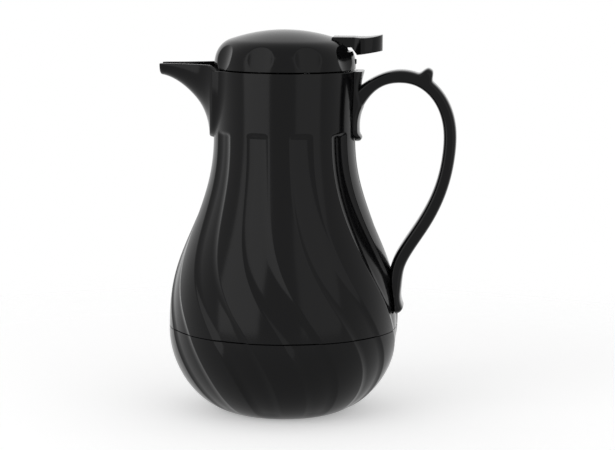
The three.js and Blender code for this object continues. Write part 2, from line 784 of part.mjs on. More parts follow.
function leverSide() {
  const side = new THREE.Shape();
  const armBottom = pivotHeight - armThick / 2 - 0.9;
  const webBottom = leverTop - 6.9;
  const padBottom = leverTop - padDepth;
  side.moveTo(-stemCapRadius, armBottom);
  side.lineTo(pivotReach - 4, armBottom);
  side.lineTo(pivotReach, pivotHeight - leverBossRadius);
  side.lineTo(pivotReach + 3.5, webBottom);
  side.lineTo(lidRadius - 1.2, webBottom);
  side.lineTo(lidRadius + 2.6, padBottom);
  side.lineTo(leverReach, padBottom);
  side.lineTo(leverReach, leverTop + 0.4);
  side.quadraticCurveTo(lidRadius + 8, leverTop - 1.6, lidRadius - 1, leverTop);
  side.lineTo(pivotReach - slotAhead + gap + 0.4, leverTop);
  side.lineTo(pivotReach - slotAhead + gap, leverTop - 0.6);
  side.lineTo(pivotReach - slotAhead + gap, forkTop);
  side.lineTo(-stemCapRadius, forkTop);
  const width = 2 * padHalfWidth + 4;
  const block = new THREE.ExtrudeGeometry(side, { depth: width, bevelEnabled: false, curveSegments: 6 });
  return solid(block.rotateX(Math.PI / 2).translate(0, width / 2, 0));
}

function leverPlan(inset) {
  const plan = new THREE.Shape();
  const padCentre = leverReach - padHalfWidth;
  const pad = padHalfWidth - inset;
  const web = leverHalfWidth - inset;
  plan.moveTo(pivotReach - 5 + inset, web);
  plan.lineTo(pivotReach - 5 + inset, -web);
  plan.lineTo(lidRadius - 1, -web);
  plan.quadraticCurveTo(lidRadius + 2, -web, padCentre, -pad);
  plan.absarc(padCentre, 0, pad, -Math.PI / 2, Math.PI / 2, false);
  plan.quadraticCurveTo(lidRadius + 2, web, lidRadius - 1, web);
  return plan;
}

function slab(shape, z0, z1) {
  const block = new THREE.ExtrudeGeometry(shape, { depth: z1 - z0, bevelEnabled: false, curveSegments: 10 });
  return solid(block.translate(0, 0, z0));
}

function thumbLever() {
  const low = leverTop - padDepth - 5;
  const arm = box(-stemCapRadius, pivotReach, -armHalfWidth, armHalfWidth, low, leverTop + 5);
  const plan = slab(leverPlan(0), low, leverTop + 5).add(arm);
  const hollow = slab(leverPlan(padWall), low, leverTop - 3.4)
    .intersect(box(lidRadius - 0.5, leverReach, -20, 20, low, leverTop));
  const boss = rodY(leverBossRadius, leverHalfWidth, pivotReach, pivotHeight);
  const fork = box(-20, stemRadius + gap + 0.3, -stemRadius - gap, stemRadius + gap, low, leverTop);
  return leverSide().intersect(plan).subtract(hollow).add(boss).subtract(fork)
    .subtract(rodY(pinRadius + gap, padHalfWidth + 5, pivotReach, pivotHeight));
}

function leverPin() {
  return rodY(pinRadius, leverHalfWidth + gap + earThick - 0.2, pivotReach, pivotHeight, 16);
}

// Assembly

const carafe = new THREE.Group();

function addPiece(name, body, finish) {
  const mesh = new THREE.Mesh(geometryOf(body), new THREE.MeshStandardMaterial(finish));
  mesh.name = name;
  carafe.add(mesh);
}

addPiece('outer_shell_upper', upperShell(), gloss);
addPiece('outer_shell_base', baseShell(), gloss);
addPiece('fill_plug', fillPlug(), plastic);
addPiece('inner_liner', innerLiner(), linerPlastic);
addPiece('foam_insulation', foamInsulation(), foamFinish);
addPiece('handle', handle(), gloss);
addPiece('handle_screw_upper', handleScrew(handleScrewHeights[0]), steel);
addPiece('handle_screw_lower', handleScrew(handleScrewHeights[1]), steel);
addPiece('lid_cap', lidCap(), gloss);
addPiece('stopper_body', stopperBody(), plastic);
addPiece('stopper_cover', stopperCover(), plastic);
addPiece('stopper_gasket', stopperGasket(), silicone);
lidScrewPlaces().forEach(([x, y], i) => addPiece(`lid_screw_${i + 1}`, lidScrew(x, y), steel));
addPiece('lever_pin', leverPin(), steel);
addPiece('thumb_lever', thumbLever(), gloss);
addPiece('valve_stem', valveStem(), plastic);
addPiece('valve_disc', valveDisc(), plastic);
addPiece('valve_seal', valveSeal(), silicone);
addPiece('stem_cap', stemCap(), plastic);
addPiece('valve_spring', valveSpring(), steel);

export default carafe;
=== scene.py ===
# Product view of the insulated carafe: fine meshes, finishes, camera and light round the solids.
# Sizes are in millimetres, as in the part's source, and become metres when a mesh is made.
# The places of the camera and lamps and the size of the table are in metres.

import math

import bmesh
import bpy
import numpy as np
from mathutils import Matrix, Vector


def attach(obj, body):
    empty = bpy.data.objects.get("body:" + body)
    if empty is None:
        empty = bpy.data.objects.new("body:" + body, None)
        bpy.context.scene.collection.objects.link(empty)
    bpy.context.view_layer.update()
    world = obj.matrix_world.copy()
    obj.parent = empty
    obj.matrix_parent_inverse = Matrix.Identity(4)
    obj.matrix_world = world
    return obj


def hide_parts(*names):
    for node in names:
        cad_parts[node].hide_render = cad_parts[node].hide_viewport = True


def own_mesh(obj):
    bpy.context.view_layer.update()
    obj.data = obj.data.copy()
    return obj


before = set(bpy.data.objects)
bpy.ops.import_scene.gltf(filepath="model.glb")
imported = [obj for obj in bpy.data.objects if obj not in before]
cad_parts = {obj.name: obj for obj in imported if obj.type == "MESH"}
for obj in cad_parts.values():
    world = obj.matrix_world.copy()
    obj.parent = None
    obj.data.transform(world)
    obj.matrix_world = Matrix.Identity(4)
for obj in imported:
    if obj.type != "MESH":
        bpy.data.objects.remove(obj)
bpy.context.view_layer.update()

MM = 0.001
GAP = 0.3  # between neighbours that touch or run in each other

# Body
BELLY_RADIUS = 80.2
BELLY_HEIGHT = 57
BELLY_ROUND = 1.9  # 2 would make the underside a plain ellipse
BELLY_AXIS = 30  # radius at which the rounding of the underside is centred
NECK_RADIUS = 49.4
RIM_HEIGHT = 239.3
NECK_HEIGHT = 200  # where the shoulder ends
NECK_FLARE = 0.6
SHELL_WALL = 3
NECK_BORE = NECK_RADIUS - SHELL_WALL
SEAM_HEIGHT = 60.2
SEAM_CHAMFER = 0.35
SEAM_LAP = 5  # how far the base reaches up inside the upper shell
LAP_DEPTH = 2.4  # how deep under the skin the two shells lap
TONGUE_BACK = 4  # depth under the skin of the inside of the base's tongue
RIM_ROUND = 0.7
THINNEST = 0.02  # wall where the gutter runs out at the mouth
FILL_HOLE = 9
FILL_PLUG = 12
FILL_STEP = 1.5

# Flutes
FLUTES = 10
PITCH = 2 * math.pi / FLUTES
FLUTE_DEPTH = 1.6  # on the neck
FLUTE_DEPTH_LOW = 1.1  # on the belly
FLUTE_DEEP = 150  # height from which they have the neck's depth
FLUTE_RAMP = 6.5  # from a flute's edge to its flat bottom
FLUTE_CREASE = 0.12  # softness of the edge, as a share of the ramp
FLUTE_HALF = math.radians(9.6)
FLUTE_FINE = math.radians(1.2)  # how far each side of an edge the mesh is finer
FLUTE_TOP = 198.6
FLUTE_CORNER = 3.4
FLUTE_END = 3.4
FLUTE_FOOT = 8
SWIRL_TURN = math.radians(52)
SWIRL_MIDDLE = 74
SWIRL_SPREAD = 27

# Spout
SPOUT_REACH = 86.5
SPOUT_TOP = 243.1
SPOUT_TIP_DEPTH = 8.2
SPOUT_FOOT = 192
SPOUT_SEARCH = SPOUT_FOOT - 6  # the skin isn't shaped by the spout below this height
SPOUT_ROUND = 1.6
SPOUT_TIP_HALF = 11
SPOUT_ROOT_HALF = 26
SPOUT_TAPER = 1.7
SPOUT_RISE = (NECK_RADIUS - 5, NECK_RADIUS + 4)  # where its edge climbs from the rim to its top
SPOUT_WALL = 2.8
SPOUT_BLEND = 11
SPOUT_START = 28  # so far inside the neck that the blend doesn't reach it
SPOUT_THROAT = 222
SPOUT_NOSE = 1.5
KEEL_START = NECK_RADIUS - 0.5
GUTTER_TOP = SPOUT_TOP + 6
GUTTER_BLEND = 2
U_DEPTH_POWER = 0.9
U_SIDE_POWER = 0.8
WIDEST_RAY = 1.2  # radians from the spout's middle
HALVINGS = 26

# Lid
LID_RADIUS = 49
LID_TOP = 266.8
LID_DOME = 110
LID_REACH = 14
LID_RISE = 17.5
LID_SHOULDER_END = 66  # degrees
LID_SMOOTHING = 14  # times that its outline is smoothed
SKIRT_BOTTOM = 239.7
SHOULDER_FOOT = 243
LID_WALL = 2.5
LID_SIDE = 4.4
LID_WALL_STEP = (36, 42)  # radii between which the wall thickens
SCALLOPS = 9
SCALLOP_TURN = math.radians(13.9)
SCALLOP_ROUND = 19.5
SCALLOP_FOOT_DEPTH = 0.6
SCALLOP_LEAN = 0.286
SCALLOP_EDGE = 0.3
CHANNEL_HALF = 13.6
CHANNEL_DEPTH = 3
CHANNEL_FOOT = 253.3
CHANNEL_INNER = 40
CHANNEL_FULL = 43  # radius from which it has its whole depth
TAB_HALF = 2
TAB_DEPTH = 2  # how far its root goes into the skirt
TAB_PROUD = 0.6
TAB_FOOT = 243.5  # over the spout when the lid turns
TAB_TOP = 247
BOSS_RADIUS = 3.8
BOSS_ROOT = 260
SCREW_CIRCLE = 33
SCREW_HOLE = 1.8

# Lever
PIVOT_X = 36
PIVOT_Z = 257
PIN_HOLE = 1.8
EAR_THICK = 3.4
EAR_REACH = 4.2
EAR_RISE = 1.6
SLOT_AHEAD = 3.3  # how far the slot in the dome starts before the pivot
SLOT_DEPTH = 8  # under the pivot
SLOT_END = LID_RADIUS - LID_REACH + 8.4
LEVER_HALF = 12.2
SLOT_HALF = LEVER_HALF + GAP
LEVER_BOSS = 3
LEVER_TOP = 262.4
LEVER_REACH = 67.5
LEVER_FRONT = 33
LEVER_BEND = 48  # where the web starts to widen into the pad
WEB_START = 31
WEB_BOTTOM = 255.5
PAD_HALF = 14.5
PAD_RISE = 1.6
PAD_BOTTOM = 250.4
PAD_TIP_BOTTOM = 253
PAD_WALL = 2
PAD_ROOF = 3.4
ARM_HALF = 4.6
ARM_BOTTOM = 254.2
FORK_TOP = 258
FORK_END = 4.2  # past the stem's axis
FORK_SLOT = 2.8  # end of the slot for the stem
FORK_HALF = 2.5  # of that slot
LEVER_TOOLS = (240, 270)  # heights between which the tools that shape the lever stand
LEVER_CLEAR = 20  # half width of the tools that pass its sides

# Stopper
LINER_WALL = 2
FOAM_GAP = 4
LINER_LIP = 218.5
LIP_THICK = 2.5
LIP_RADIUS = 46.1
SEAT_RADIUS = 12
PLUG_RADIUS = 38.5  # under the thread
PLUG_BOTTOM = 194
PLUG_FLOOR = 3
PLUG_WALL = 2.5
FLANGE_RADIUS = 45.5
FLANGE_BOTTOM = 221.5
FLANGE_TOP = 224
CHAMBER_RADIUS = 43
CHAMBER_TOP = 239
PORTS = 4
PORT_HALF = 11
PORT_SILL = 226.5
PORT_HEIGHT = 10
THREAD_PITCH = 9
THREAD_LOW = 198
THREAD_HIGH = 217
THREAD_SECTION = [(-1.6, -0.5), (1.6, -0.5), (0.6, 1), (-0.6, 1)]  # rise, distance off the plug
THREAD_FADE = 0.3  # radians over which its ends run out
COVER_BOTTOM = 239.3
COVER_TOP = 241.8
GUIDE_RADIUS = 5.1
GUIDE_BOTTOM = 227.3
GASKET_BORE = 39.8

# Valve
STEM_RADIUS = 2.2
STEM_HOLE = 2.5
STEM_FOOT_RADIUS = 4.2
STEM_BOTTOM = 194.5
STEM_FOOT_TOP = 197
STEM_TOP = 260.3
SEAL_RADIUS = 15
SEAL_BOTTOM = 197.3
SEAL_TOP = 198.9
DISC_BOTTOM = 199.2
DISC_TOP = 201.6
DISC_STEP = 7  # radius of the step the spring stands on
DISC_HUB = 3.2
SPRING_FOOT = 203
SPRING_HEAD = 227
SPRING_TURNS = 7
SPRING_COIL = 5.4
SPRING_WIRE = 0.65


# Numbers on arrays

def smoothstep(x, low, high):
    t = np.clip((np.asarray(x, float) - low) / (high - low), 0, 1)
    return t * t * (3 - 2 * t)


def smootherstep(x, low, high):
    t = np.clip((np.asarray(x, float) - low) / (high - low), 0, 1)
    return t ** 3 * (t * (6 * t - 15) + 10)


def smooth_max(a, b, blend):
    h = np.maximum(blend - np.abs(a - b), 0) / blend
    return np.maximum(a, b) + h * h * blend / 4


def mix(a, b, t):
    return a + (b - a) * t


def curve(a, b, c, count):
    """Points from a to c along a curve that leans towards b."""
    a, b, c = (np.asarray(p, float) for p in (a, b, c))
    return [(1 - t) ** 2 * a + 2 * t * (1 - t) * b + t * t * c for t in np.linspace(0, 1, count)]


def spline(points, count):
    """A smooth curve through rows of numbers, at evenly spaced distances along the first two."""
    points = np.asarray(points, float)
    t = np.concatenate([[0], np.cumsum(np.hypot(*np.diff(points[:, :2], axis=0).T))])
    step = np.diff(t)
    size = len(points)
    system = np.zeros((size, size))
    right = np.zeros_like(points)
    system[0, 0] = system[-1, -1] = 1
    slopes = np.diff(points, axis=0) / step[:, None]
    for i in range(1, size - 1):
        system[i, i - 1:i + 2] = step[i - 1], 2 * (step[i - 1] + step[i]), step[i]
        right[i] = 6 * (slopes[i] - slopes[i - 1])
    bend = np.linalg.solve(system, right)
    at = np.linspace(0, t[-1], count)
    i = np.clip(np.searchsorted(t, at) - 1, 0, size - 2)
    a = ((t[i + 1] - at) / step[i])[:, None]
    b = 1 - a
    line = a * points[i] + b * points[i + 1]
    line += ((a ** 3 - a) * bend[i] + (b ** 3 - b) * bend[i + 1]) * step[i][:, None] ** 2 / 6
    return line, at


# Meshes

DOUBLES = 1e-6  # metres; corners nearer than this are one


def make_object(name, corners, faces, sharp=40):
    mesh = bpy.data.meshes.new(name)
    mesh.from_pydata((np.asarray(corners) * MM).tolist(), [], faces)
    mesh.validate()
    obj = bpy.data.objects.new(name, mesh)
    bpy.context.scene.collection.objects.link(obj)
    finish_mesh(obj, sharp)
    return obj


def finish_mesh(obj, sharp=40):
    """Joins doubled corners, turns faces outwards and shades smooth up to an angle in degrees."""
    work = bmesh.new()
    work.from_mesh(obj.data)
    bmesh.ops.remove_doubles(work, verts=work.verts, dist=DOUBLES)
    bmesh.ops.recalc_face_normals(work, faces=work.faces)
    work.to_mesh(obj.data)
    work.free()
    obj.data.polygons.foreach_set("use_smooth", [True] * len(obj.data.polygons))
    obj.data.set_sharp_from_angle(angle=math.radians(sharp))


def grid_object(name, rings, wrap=True, sharp=40):
    """Closed rings of points joined into a skin; wrap joins the last ring to the first."""
    rings = np.asarray(rings)
    rows, columns, _ = rings.shape
    faces = []
    for i in range(rows if wrap else rows - 1):
        a = i * columns
        b = ((i + 1) % rows) * columns
        for j in range(columns):
            k = (j + 1) % columns
            faces.append((a + j, a + k, b + k, b + j))
    if not wrap:
        faces.append(tuple(range(columns)))
        faces.append(tuple(range((rows - 1) * columns, rows * columns)))
    return make_object(name, rings.reshape(-1, 3), faces, sharp)


def polar(angle, r, z):
    angle, r, z = np.broadcast_arrays(angle, r, z)
    return np.stack([r * np.cos(angle), r * np.sin(angle), z], axis=-1)


def rounded(profile, radius, steps=4):
    """A closed outline with its corners off the axis rounded."""
    points = [np.asarray(p, float) for p in profile]
    result = []
    for i, corner in enumerate(points):
        before = points[i - 1] - corner
        after = points[(i + 1) % len(points)] - corner
        if corner[0] < 0.01:
            result.append(corner)
            continue
        cut = min(radius, 0.4 * np.hypot(*before), 0.4 * np.hypot(*after))
        start = corner + before / np.hypot(*before) * cut
        end = corner + after / np.hypot(*after) * cut
        result += curve(start, corner, end, steps)
    return result


def tube(inner, outer, low, high):
    """Outline of a plain ring, to be turned about Z."""
    return [(inner, low), (outer, low), (outer, high), (inner, high)]


def lathe(name, profile, radius=0.5, segments=144):
    """Turns a closed outline of (radius, height) points about Z."""
    angles = np.linspace(0, 2 * math.pi, segments, endpoint=False)
    return grid_object(name, [polar(angles, max(r, 0), z) for r, z in rounded(profile, radius)])


def flat(u, v, w):
    return u, v, w


def upright(u, v, w):
    return u, w, v


def prism(name, outline, low, high, place):
    """An outline of (u, v) extruded along w from low to high; place(u, v, w) gives x, y, z."""
    corners = [place(u, v, w) for w in (low, high) for u, v in outline]
    n = len(outline)
    faces = [(i, (i + 1) % n, n + (i + 1) % n, n + i) for i in range(n)]
    faces += [tuple(range(n)), tuple(range(n, 2 * n))]
    return make_object(name, corners, faces, sharp=30)


def block(x0, x1, y0, y1, z0, z1):
    outline = [(x0, y0), (x1, y0), (x1, y1), (x0, y1)]
    return prism("block", outline, z0, z1, flat)


def rod_y(radius, half, x, z, segments=48):
    """A rod along Y, centred on y = 0."""
    turn = np.linspace(0, 2 * math.pi, segments, endpoint=False)
    outline = [(x + radius * math.cos(a), z + radius * math.sin(a)) for a in turn]
    return prism("rod", outline, -half, half, upright)


def combine(obj, tool, operation):
    """Boolean of two objects; the tool is used up."""
    modifier = obj.modifiers.new("cut", "BOOLEAN")
    modifier.object = tool
    modifier.operation = operation
    modifier.solver = "EXACT"
    apply_modifiers(obj)
    drop(tool)
    finish_mesh(obj, 35)
    return obj


def apply_modifiers(obj):
    graph = bpy.context.evaluated_depsgraph_get()
    mesh = bpy.data.meshes.new_from_object(obj.evaluated_get(graph))
    old = obj.data
    obj.modifiers.clear()
    obj.data = mesh
    bpy.data.meshes.remove(old)


def drop(obj):
    mesh = obj.data
    bpy.data.objects.remove(obj)
    bpy.data.meshes.remove(mesh)


def join(obj, *others):
    work = bmesh.new()
    work.from_mesh(obj.data)
    for other in others:
        work.from_mesh(other.data)
        drop(other)
    work.to_mesh(obj.data)
    work.free()
    finish_mesh(obj, 35)
    return obj


def bevel(obj, width, angle=35, segments=3):
    modifier = obj.modifiers.new("edges", "BEVEL")
    modifier.width = width * MM
    modifier.segments = segments
    modifier.limit_method = "ANGLE"
    modifier.angle_limit = math.radians(angle)
    apply_modifiers(obj)
    finish_mesh(obj, 50)
    return obj


# Outline of the body

def body_radius(z):
    z = np.asarray(z, float)
    sink = np.clip((BELLY_HEIGHT - z) / (BELLY_HEIGHT + 1), 0, 1)
    bowl = mix(BELLY_AXIS, BELLY_RADIUS, (1 - sink ** BELLY_ROUND) ** (1 / BELLY_ROUND))
    shoulder = mix(BELLY_RADIUS, NECK_RADIUS, smootherstep(z, BELLY_HEIGHT, NECK_HEIGHT))
    shoulder = shoulder + NECK_FLARE * smoothstep(z, NECK_HEIGHT, RIM_HEIGHT)
    return np.where(z < BELLY_HEIGHT, bowl, shoulder)


def under(z, depth):
    """The point the given depth under the skin at height z."""
    step = 0.01
    slope = float(body_radius(z + step) - body_radius(z)) / step
    length = math.hypot(1, slope)
    return float(body_radius(z)) - depth / length, z + depth * slope / length


def swirl(z):
    return SWIRL_TURN / (1 + np.exp((np.asarray(z, float) - SWIRL_MIDDLE) / SWIRL_SPREAD))


def flute_columns():
    """Angles round the body, closest together along the edges of the flutes."""
    inside = FLUTE_HALF - FLUTE_FINE
    outside = FLUTE_HALF + FLUTE_FINE
    one = np.concatenate([
        np.linspace(-inside, inside, 30, endpoint=False),
        np.linspace(inside, outside, 12, endpoint=False),
        np.linspace(outside, PITCH - outside, 16, endpoint=False),
        np.linspace(PITCH - outside, PITCH - inside, 12, endpoint=False),
    ])
    return np.concatenate([one + k * PITCH for k in range(FLUTES)])


COLUMNS = flute_columns()


def fluted_radius(column, z):
    """Radius of the skin at the given columns and heights, with flat-bottomed flutes pressed in."""
    r = body_radius(z)
    offset = np.abs((column + PITCH / 2) % PITCH - PITCH / 2) * r
    rise = np.clip((z - (FLUTE_TOP - FLUTE_CORNER)) / FLUTE_CORNER, 0, 1)
    half = FLUTE_HALF * r - FLUTE_CORNER * (1 - np.sqrt(1 - rise ** 2))
    slope = np.clip(smooth_max((half - offset) / FLUTE_RAMP, 0, FLUTE_CREASE), 0, 1)
    share = (1 - (1 - slope) ** 2) * (1 - smoothstep(z, FLUTE_TOP - FLUTE_END, FLUTE_TOP))
    deepest = mix(FLUTE_DEPTH_LOW, FLUTE_DEPTH, smoothstep(z, BELLY_HEIGHT, FLUTE_DEEP))
    return r - deepest * share * smoothstep(z, 0, FLUTE_FOOT)


# Spout: shapes are functions of d, the distance from the axis along the spout

def from_spout(angle):
    """Angle from the spout's middle, which points along -X."""
    return (angle % (2 * math.pi)) - math.pi


def keel_height(d):
    away = np.clip((SPOUT_REACH - d) / (SPOUT_REACH - KEEL_START), 0, 1)
    rise = (1 - away ** SPOUT_ROUND) ** (1 / SPOUT_ROUND)
    return mix(SPOUT_FOOT, SPOUT_TOP - SPOUT_TIP_DEPTH, rise)


def spout_half(d):
    back = np.clip((SPOUT_REACH - d) / (SPOUT_REACH - NECK_BORE), 0, 1)
    return mix(SPOUT_TIP_HALF, SPOUT_ROOT_HALF, back ** SPOUT_TAPER)


def spout_edge(d):
    return mix(RIM_HEIGHT, SPOUT_TOP, smoothstep(d, *SPOUT_RISE))


def across_u(half, top, bottom, z):
    """Half the width of a U-shaped section at height z, or -1 below it."""
    depth = np.clip((top - z) / (top - bottom), 0, None)
    sine = np.minimum(depth, 1) ** (1 / U_DEPTH_POWER)
    return np.where(depth > 1, -1, half * (1 - sine ** 2) ** (U_SIDE_POWER / 2))


def furthest(angle, inside):
    """How far a ray at the given angle from the spout's middle stays inside the spout, or 0."""
    slope = np.tan(np.minimum(np.abs(angle), WIDEST_RAY))
    low = np.full(angle.shape, float(SPOUT_START))
    high = np.full(angle.shape, float(SPOUT_REACH))
    hit = inside(low) > low * slope
    for _ in range(HALVINGS):
        middle = (low + high) / 2
        ok = inside(middle) > middle * slope
        low = np.where(ok, middle, low)
        high = np.where(ok, high, middle)
    return np.where(hit & (np.abs(angle) < WIDEST_RAY), low / np.cos(angle), 0)


def spout_outside(angle, z):
    def inside(d):
        nose = np.maximum(0, d - (SPOUT_REACH - SPOUT_NOSE))
        pull = SPOUT_NOSE - np.sqrt(np.maximum(SPOUT_NOSE ** 2 - nose ** 2, 0))
        bottom = keel_height(np.maximum(d, KEEL_START)) + pull
        return across_u(spout_half(d) - pull, spout_edge(d), bottom, z)
    return furthest(angle, inside)


def gutter_floor(d):
    along = np.clip((d - NECK_BORE) / (SPOUT_REACH - NECK_BORE), 0, 1)
    return mix(SPOUT_THROAT, SPOUT_TOP - SPOUT_TIP_DEPTH + SPOUT_WALL, along)


def spout_inside(angle, z):
    def inside(d):
        half = spout_half(np.maximum(d, NECK_BORE)) - SPOUT_WALL
        return across_u(half, GUTTER_TOP, gutter_floor(d), z)
    return furthest(angle, inside)


def top_edge(angle):
    """Height of the rim at each angle from the spout's middle, with the notch of the mouth."""
    reach = spout_outside(angle, np.full(angle.shape, RIM_HEIGHT)) * np.cos(angle)
    edge = np.where(reach > 0, spout_edge(reach), RIM_HEIGHT)
    y = SPOUT_REACH * np.tan(np.minimum(np.abs(angle), WIDEST_RAY))
    ratio = np.clip(y / (SPOUT_TIP_HALF - SPOUT_WALL), 0, 1)
    sine = np.sqrt(np.maximum(0, 1 - ratio ** (2 / U_SIDE_POWER)))
    floor = gutter_floor(np.array(SPOUT_REACH))
    mouth = GUTTER_TOP - (GUTTER_TOP - floor) * sine ** U_DEPTH_POWER
    return np.where(ratio < 1, np.minimum(edge, mouth), edge)


# Shells

SKIN_BENDS = (185, 186.3, 226)  # heights at which the rows of the upper shell change their spacing


def shell_outside(z):
    """Angles and radii of the upper shell's skin at one height for each column."""
    angle = COLUMNS + swirl(z)
    r = fluted_radius(COLUMNS, z)
    if np.max(z) > SPOUT_SEARCH:
        r = smooth_max(r, spout_outside(from_spout(angle), z), SPOUT_BLEND)
    return angle, r


def shell_inside(z):
    """Angles and radii of the neck's bore and the spout's gutter."""
    angle = COLUMNS + swirl(z)
    bore = np.full(COLUMNS.shape, NECK_BORE)
    return angle, smooth_max(bore, spout_inside(from_spout(angle), z), GUTTER_BLEND)


def upper_skin(seam, edge):
    """Rings from the seam up to edge, where the rounding of the rim starts."""
    low, high, neck = SKIN_BENDS
    heights = [np.full(COLUMNS.shape, z) for z in np.linspace(seam + SEAM_CHAMFER, low, 120)]
    heights += [np.full(COLUMNS.shape, z) for z in np.linspace(high, neck, 44)]
    heights += [mix(neck, edge, share ** 0.8) for share in np.linspace(0, 1, 84)[1:]]
    angle, r = shell_outside(np.full(COLUMNS.shape, seam))
    rings = [polar(angle, r - SEAM_CHAMFER, seam)]
    for z in heights:
        angle, r = shell_outside(z)
        rings.append(polar(angle, r, z))
    return rings


def rounded_rim(edge):
    """Rings over the rim, from the outside to the inside."""
    angle, outside = shell_outside(edge)
    inside = np.minimum(shell_inside(edge)[1], outside - THINNEST)
    half = (outside - inside) / 2
    rings = []
    for turn in np.linspace(0, math.pi, 9)[1:-1]:
        lean = math.copysign(abs(math.cos(turn)) ** 0.5, math.cos(turn))
        rise = RIM_ROUND * np.minimum(1, half) * math.sin(turn) ** 0.6
        rings.append(polar(angle, (outside + inside) / 2 + half * lean, edge + rise))
    return rings


def upper_bore(edge):
    """Rings down the inside of the spout and neck."""
    rings = []
    for share in np.linspace(0, 1, 40):
        z = mix(edge, SPOUT_THROAT - 3, share)
        angle, r = shell_inside(z)
        rings.append(polar(angle, np.minimum(r, shell_outside(z)[1] - THINNEST), z))
    return rings


def upper_shell():
    seam = SEAM_HEIGHT + GAP / 2
    edge = top_edge(from_spout(COLUMNS + swirl(RIM_HEIGHT))) - RIM_ROUND
    rings = upper_skin(seam, edge) + rounded_rim(edge) + upper_bore(edge)
    lap_top = SEAM_HEIGHT + SEAM_LAP + GAP
    walls = [(NECK_BORE, NECK_HEIGHT)]
    walls += [under(z, SHELL_WALL) for z in np.linspace(NECK_HEIGHT - 4, lap_top, 30)]
    walls += [under(lap_top, LAP_DEPTH), (under(seam, LAP_DEPTH)[0], seam)]
    rings += [polar(COLUMNS + swirl(z), r, z) for r, z in walls]
    return grid_object("shell_upper", rings)


def base_skin(seam):
    """Rings of the base's outside, from the edge of its flat underside up to the seam."""
    rings = []
    for share in np.linspace(0, 1, 80):
        z = np.full(COLUMNS.shape, share ** 1.8 * (seam - SEAM_CHAMFER - 0.15) + 0.15)
        rings.append(polar(COLUMNS + swirl(z), fluted_radius(COLUMNS, z), z))
    last = fluted_radius(COLUMNS, np.full(COLUMNS.shape, seam))
    rings.append(polar(COLUMNS + swirl(seam), last - SEAM_CHAMFER, seam))
    return rings


def base_shell():
    lap_top = SEAM_HEIGHT + SEAM_LAP
    tongue = LAP_DEPTH + GAP
    foot = [(FILL_HOLE + GAP, FILL_STEP + GAP), (FILL_PLUG + GAP, FILL_STEP + GAP),
            (FILL_PLUG + GAP, 0), (float(body_radius(0)) - 0.6, 0)]
    walls = [under(SEAM_HEIGHT, tongue), under(lap_top, tongue), under(lap_top, TONGUE_BACK),
             under(SEAM_HEIGHT, TONGUE_BACK), under(SEAM_HEIGHT - SEAM_LAP, SHELL_WALL)]
    walls += [under(z, SHELL_WALL) for z in np.linspace(50, 1, 24)]
    walls += [(BELLY_AXIS, SHELL_WALL), (FILL_HOLE + GAP, SHELL_WALL)]
    rings = [polar(COLUMNS + swirl(z), r, z) for r, z in foot]
    rings += base_skin(SEAM_HEIGHT - GAP / 2)
    rings += [polar(COLUMNS + swirl(z), r, z) for r, z in walls]
    return grid_object("shell_base", rings)


# Lid

def lid_profile():
    """Rows of radius and height from the foot of the skirt to the middle of the dome."""
    turn = np.radians(np.linspace(0, LID_SHOULDER_END, 60))
    shoulder = np.stack([LID_RADIUS - LID_REACH + LID_REACH * np.cos(turn),
                         SHOULDER_FOOT + LID_RISE * np.sin(turn)], 1)
    r = np.linspace(shoulder[-1, 0] - 0.5, 0, 60)
    dome = np.stack([r, LID_TOP - r ** 2 / (2 * LID_DOME)], 1)
    heights = np.linspace(SKIRT_BOTTOM + 0.5, SHOULDER_FOOT - 0.2, 8)
    profile = np.concatenate([[[LID_RADIUS, z] for z in heights], shoulder, dome])
    for _ in range(LID_SMOOTHING):
        profile[1:-1] = (profile[:-2] + 2 * profile[1:-1] + profile[2:]) / 4
    return profile


def scallop_depth(columns, r, z):
    """How far the scallops reach into the skin, below 0 between them."""
    pitch = 2 * math.pi / SCALLOPS
    across = (columns - SCALLOP_TURN + pitch / 2) % pitch - pitch / 2
    deepest = r - LID_RADIUS + SCALLOP_FOOT_DEPTH + SCALLOP_LEAN * (z - SKIRT_BOTTOM)
    return deepest - across ** 2 * r ** 2 / (2 * SCALLOP_ROUND)


def channel_share(columns, r, z):
    """1 in the pressed channel at the back of the dome, 0 beside it."""
    y = np.abs(r * np.sin(columns))
    share = smoothstep(CHANNEL_HALF - y, 0, 1) * (np.cos(columns) > 0)
    share = share * smoothstep(z, CHANNEL_FOOT - 1, CHANNEL_FOOT)
    return share * smoothstep(r, CHANNEL_INNER, CHANNEL_FULL)


def lid_inside(columns, r):
    """Thickness of the wall and how much further in it stands behind the channel."""
    wall = mix(LID_WALL, LID_SIDE, smoothstep(r, *LID_WALL_STEP))
    back = (np.abs(r * np.sin(columns)) < CHANNEL_HALF + 2) & (np.cos(columns) > 0)
    start = smoothstep(r, CHANNEL_INNER - 2, LID_WALL_STEP[1])
    return wall, (CHANNEL_DEPTH + LID_WALL - wall) * back * start


def lid_shell():
    columns = np.linspace(0, 2 * math.pi, 960, endpoint=False)
    profile = lid_profile()
    along = np.gradient(profile, axis=0)
    along /= np.hypot(*along.T)[:, None]
    rows = [(r, z, dz, -dr) for (r, z), (dr, dz) in zip(profile, along)]
    rings = [polar(columns, LID_RADIUS - SCALLOP_FOOT_DEPTH - SCALLOP_EDGE, SKIRT_BOTTOM)]
    for r, z, out_r, out_z in rows:
        channel = channel_share(columns, r, z)
        sunk = smooth_max(scallop_depth(columns, r, z), 0, SCALLOP_EDGE) * (1 - channel)
        depth = CHANNEL_DEPTH * channel
        rings.append(polar(columns, np.maximum(r - out_r * depth - sunk, 0), z - out_z * depth))
    for r, z, out_r, out_z in rows[::-4]:
        wall, sink = lid_inside(columns, r)
        rings.append(polar(columns, np.maximum(r - out_r * wall - sink, 0), z - out_z * wall))
    rings.append(polar(columns, LID_RADIUS - LID_SIDE, SKIRT_BOTTOM))
    return grid_object("lid_cap_skin", rings)


